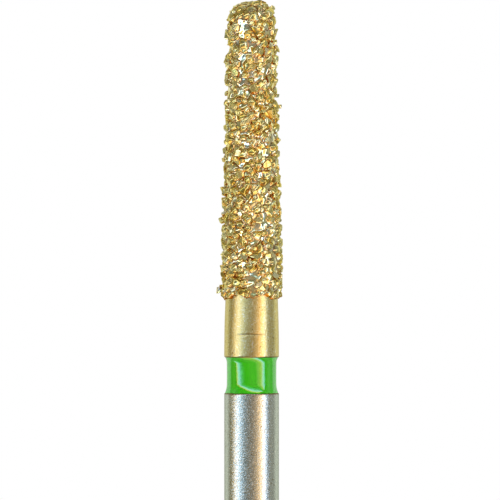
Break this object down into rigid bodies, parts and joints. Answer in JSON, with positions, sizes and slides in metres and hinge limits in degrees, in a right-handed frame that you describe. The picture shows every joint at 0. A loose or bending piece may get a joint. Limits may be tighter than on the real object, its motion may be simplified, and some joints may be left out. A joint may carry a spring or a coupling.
{
  "type": "dental bur",
  "caption": "Tapered round-end diamond bur: a grit-covered head on a plain friction-grip shank, with a green grit-code band in a groove below its gold-finished neck.",
  "frame": {"origin": "centre of the flat free end of the shank, where the bur stands", "axes": "+Z along the bur's axis from the shank's free end to the tip; X and Y are equal, with +Y away from the picture's camera and +X to its right"},
  "size_m": [0.0019, 0.0018, 0.022],
  "materials": {
    "shank_steel": "fine blasted stainless steel; the neck above the groove has a thin gold-coloured plating",
    "band_lacquer": "glossy opaque lacquer",
    "gold_plated_grit": "rough diamond grains bonded and covered by gold-coloured plating"
  },
  "bodies": {
    "root": {"turned_blank": "shank_steel", "colour_band": "band_lacquer", "diamond_coat": "gold_plated_grit"}
  },
  "joints": []
}
